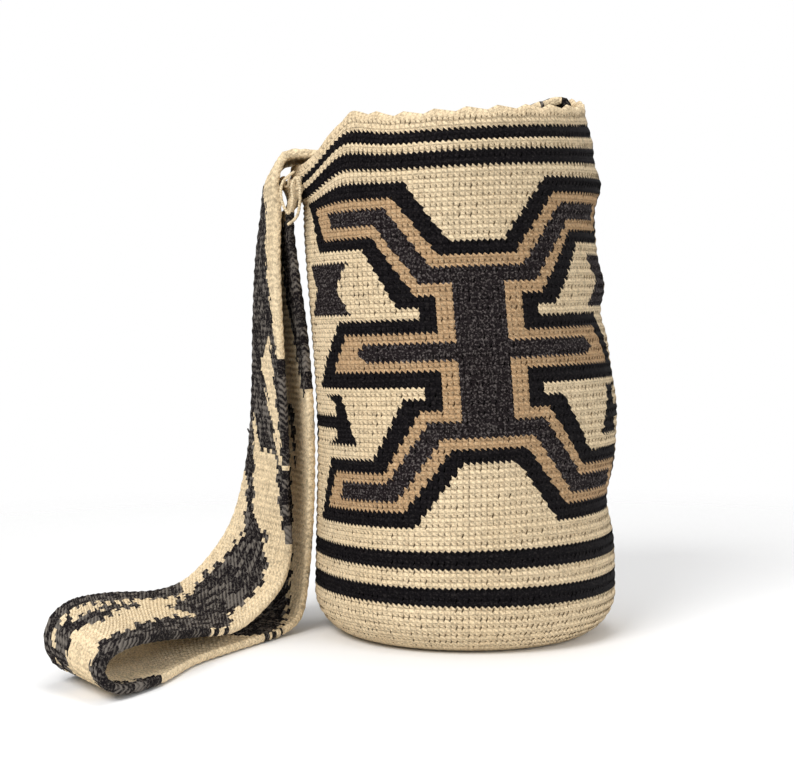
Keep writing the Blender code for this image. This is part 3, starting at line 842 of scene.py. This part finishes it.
def make_band(wools):
    """The twined band as one closed cloth of lengthwise cords."""
    rows = smooth_rows(band_rows())
    lengths = [0.0]
    for before, after in zip(rows, rows[1:]):
        lengths.append(lengths[-1] + (after[CORDS // 2] - before[CORDS // 2]).length)
    starts = [RANDOM.uniform(0.0, 2.0 * math.pi) for _ in range(CORDS)]
    cloth = Cloth()
    for row, normals, metres in zip(rows, row_normals(rows), lengths):
        cloth.add_points(*band_ring(row, normals, metres, lengths[-1], starts))
    ring = 2 * (SPLITS + 1)
    for place, metres in enumerate(lengths[:-1]):
        low, high = place * ring, (place + 1) * ring
        for spot in range(ring):
            after = (spot + 1) % ring
            split = max(spot if spot <= SPLITS else ring - 2 - spot, 0)
            cord = min(split // CORD_PARTS, CORDS - 1)
            slant = split % CORD_PARTS / CORD_PARTS
            dash = math.floor(metres / FIELD_DASH + 0.5 * (cord + slant))
            corners = (low + spot, high + spot, high + after, low + after)
            cloth.add_face(corners, band_wool(metres, cord, dash), stitch_share(cord, dash))
    last = (len(rows) - 1) * ring
    for split in range(SPLITS):
        mirror = ring - 1 - split
        cloth.add_face((split, split + 1, mirror - 1, mirror))
        cloth.add_face((last + mirror, last + mirror - 1, last + split + 1, last + split))
    piece = cloth.make_piece("twined_band", wools)
    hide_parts("shoulder_strap")
    return piece, rows, lengths[-1]


def smooth_line(line):
    """Points read in short steps along one smooth curve through the guide points."""
    smooth = []
    for place in range(len(line) - 1):
        guides = around(line, place)
        steps = max(2, round((guides[2] - guides[1]).length / YARN_STEP))
        smooth += [between(*guides, step / steps) for step in range(steps)]
    smooth.append(line[-1])
    return smooth


def make_yarn(name, line, material, thickness=YARN):
    """A two-ply yarn along a line, as one closed tube whose two plies wind round each other."""
    smooth = smooth_line(line)
    cloth = Cloth()
    travelled = 0.0
    side = Vector((0.31, 0.52, 0.79))
    for spot, middle in enumerate(smooth):
        before, after = smooth[max(spot - 1, 0)], smooth[min(spot + 1, len(smooth) - 1)]
        ahead = (after - before).normalized()
        side = (side - ahead * side.dot(ahead)).normalized()
        other = ahead.cross(side)
        travelled += (middle - before).length
        spin = 2.0 * math.pi * travelled / (YARN_WINDING * thickness * 0.5)
        taper = YARN_TIP if spot in (0, len(smooth) - 1) else 1.0
        for corner in range(YARN_SIDES):
            angle = 2.0 * math.pi * corner / YARN_SIDES
            ply = YARN_GROOVE + (1.0 - YARN_GROOVE) * abs(math.cos(angle - spin))
            radius = 0.5 * thickness * ply * taper
            point = middle + side * (radius * math.cos(angle)) + other * (radius * math.sin(angle))
            cloth.add_points([point], [(corner / YARN_SIDES, travelled / YARN_STITCH)])
    shade = 0.6
    for spot in range(len(smooth) - 1):
        cloth.join(spot * YARN_SIDES, (spot + 1) * YARN_SIDES, [0] * YARN_SIDES, [shade] * YARN_SIDES)
    last = (len(smooth) - 1) * YARN_SIDES
    cloth.add_face(tuple(reversed(range(YARN_SIDES))), shade=shade)
    cloth.add_face(tuple(last + corner for corner in range(YARN_SIDES)), shade=shade)
    return cloth.make_piece(name, [material])


def seam_line(seam, inside):
    """The path of the yarn that steps to and fro across a sewn end of the band."""
    lift = GAP + BAND_THICKNESS + SEAM_CLEAR + YARN / 2.0
    top, foot = seam_rounds()
    end, inward = (foot, -1.0) if inside else (top, 1.0)
    outer, inner = end - inward * SEAM_OVER / ROUND_PITCH, end + inward * SEAM_DOWN / ROUND_PITCH
    reach = BAND_WIDTH / 2.0 - SEAM_MARGIN
    depth = CLOTH + lift if inside else -lift
    line = []
    for stitch in range(SEAM_STITCHES):
        side = -reach + 2.0 * reach * stitch / (SEAM_STITCHES - 1)
        angle = seam + math.degrees(side / BODY_RADIUS)
        leg = [body_point(angle, rounds, depth) for rounds in (outer, 0.5 * (outer + inner), inner)]
        line += leg if stitch % 2 else reversed(leg)
    return line


def loop_line():
    """The path of the slack loops that the sewing leaves below the left rim, before the band's near edge."""
    top = body_point(LEFT_SEAM, -ROUNDS_ABOVE + 2.0)
    steps = (
        (0.004, -0.031, 0.000),
        (-0.003, -0.0335, -0.007),
        (-0.0035, -0.0345, -0.017),
        (0.0005, -0.0350, -0.025),
        (0.0030, -0.0345, -0.018),
        (0.0025, -0.0335, -0.009),
        (0.0050, -0.0330, -0.004),
        (0.0075, -0.0340, -0.012),
        (0.0060, -0.0350, -0.026),
        (0.0000, -0.0355, -0.032),
    )
    return [top + Vector(step) for step in steps]


def yarn_end_line(rows):
    """The path of the loose dark end at the band's far edge."""
    hanging = rows[: len(rows) // 2]
    row = min(hanging, key=lambda spots: abs(spots[-1].z - YARN_END_HEIGHT))
    out = (row[-1] - row[0]).normalized()
    start = row[-1] - out * YARN_END_SINK
    end = start + (out + Vector((0.0, 0.0, YARN_END_RISE))) * 0.9 * YARN_END
    return [start, 0.5 * (start + end) + Vector((0.0, 0.0, -YARN_END_SAG)), end]


def make_floor():
    """A pale floor that fades out into the white surroundings."""
    size = FLOOR_HALF
    corners = [(-size, -size, 0.0), (size, -size, 0.0), (size, size, 0.0), (-size, size, 0.0)]
    mesh = bpy.data.meshes.new("floor")
    mesh.from_pydata(corners, [], [(0, 1, 2, 3)])
    floor = bpy.data.objects.new("floor", mesh)
    bpy.context.collection.objects.link(floor)
    floor.location.z = -FLOOR_DROP
    material = bpy.data.materials.new("pale_floor")
    material.use_nodes = True
    tree = material.node_tree
    shader = tree.nodes["Principled BSDF"]
    shader.inputs["Base Color"].default_value = FLOOR_COLOUR
    shader.inputs["Roughness"].default_value = 0.8
    shader.inputs["Specular IOR Level"].default_value = 0.1
    place = add_node(tree, "ShaderNodeTexCoord").outputs["Object"]
    far = add_node(tree, "ShaderNodeVectorMath", operation="LENGTH")
    tree.links.new(place, far.inputs[0])
    clear = add_node(tree, "ShaderNodeBsdfTransparent")
    both = add_node(tree, "ShaderNodeMixShader")
    fade = spread_of(tree, far.outputs["Value"], *FLOOR_FADE)
    feed(tree, both.inputs, (fade, shader.outputs[0], clear.outputs[0]))
    tree.links.new(both.outputs[0], tree.nodes["Material Output"].inputs["Surface"])
    mesh.materials.append(material)


def add_lamp(name, place, target, size, power):
    """A round soft lamp that points at a target."""
    lamp = bpy.data.lights.new(name, "AREA")
    lamp.shape = "DISK"
    lamp.size = size
    lamp.energy = power
    item = bpy.data.objects.new(name, lamp)
    item.location = place
    item.rotation_euler = (Vector(target) - Vector(place)).to_track_quat("-Z", "Y").to_euler()
    bpy.context.collection.objects.link(item)


def light_scene():
    """Soft light from the front and above, in white surroundings that light the bag less than they show."""
    for name, (place, target, size, power) in LAMPS.items():
        add_lamp(name, place, target, size, power)
    world = bpy.data.worlds.new("white_room")
    bpy.context.scene.world = world
    world.use_nodes = True
    tree = world.node_tree
    room = tree.nodes["Background"]
    room.inputs["Color"].default_value = WHITE
    room.inputs["Strength"].default_value = ROOM_LIGHT
    white = add_node(tree, "ShaderNodeBackground", Color=WHITE, Strength=1.0)
    path = add_node(tree, "ShaderNodeLightPath")
    seen = number(tree, "MAXIMUM", path.outputs["Is Camera Ray"], path.outputs["Is Glossy Ray"])
    seen = number(tree, "MAXIMUM", seen, path.outputs["Is Transmission Ray"])
    both = add_node(tree, "ShaderNodeMixShader")
    feed(tree, both.inputs, (seen, room.outputs[0], white.outputs[0]))
    tree.links.new(both.outputs[0], tree.nodes["World Output"].inputs["Surface"])


def place_camera():
    """The photo's view, with colours shown as they are written."""
    camera = bpy.data.cameras.new("camera")
    camera.sensor_width = 36.0
    camera.lens = FOCAL_PIXELS / PICTURE_WIDTH * camera.sensor_width
    camera.clip_start = 0.01
    item = bpy.data.objects.new("camera", camera)
    item.location = CAMERA_AT
    item.rotation_euler = (math.radians(90.0 - CAMERA_DOWN), 0.0, 0.0)
    bpy.context.collection.objects.link(item)
    bpy.context.scene.camera = item
    bpy.context.scene.view_settings.view_transform = "Standard"


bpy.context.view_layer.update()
cream_wool = wool("cream_wool", (0.84, 0.675, 0.445), (0.46, 0.31, 0.18), 0.40, pit_shade=0.50)
black_wool = wool("black_wool", (0.004, 0.003, 0.004), GREY, 0.07, sheen=0.0)
tan_wool = wool("tan_wool", (0.49, 0.315, 0.17), (0.76, 0.58, 0.36), 0.40, pit_shade=0.45)
brown_wool = wool("brown_wool", (0.013, 0.009, 0.010), GREY, 0.55, sheen=0.02)
cream_cord = wool("cream_cord", (0.83, 0.67, 0.44), (0.26, 0.18, 0.11), 0.30, 0.35, 0.5, 1.1)
black_cord = wool("black_cord", (0.008, 0.006, 0.007), CORD_GREY, 0.42, 0.0, 0.5, 1.1, marl=True, sheen=0.03)

place_camera()
make_body([cream_wool, black_wool, tan_wool, brown_wool])
band, band_lines, band_length = make_band([cream_cord, black_cord])
left_yarn = make_yarn("left_sewing_yarn", seam_line(LEFT_SEAM, False), cream_cord)
right_yarn = make_yarn("right_sewing_yarn", seam_line(RIGHT_SEAM, True), cream_cord)
make_yarn("sewing_loops", loop_line(), cream_cord, LOOP_YARN)
loose_end = make_yarn("loose_end", yarn_end_line(band_lines), black_cord, YARN_END_THICKNESS)
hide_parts("left_seam_yarn")
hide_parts("right_seam_yarn")
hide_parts("loose_yarn_end")
make_floor()
light_scene()
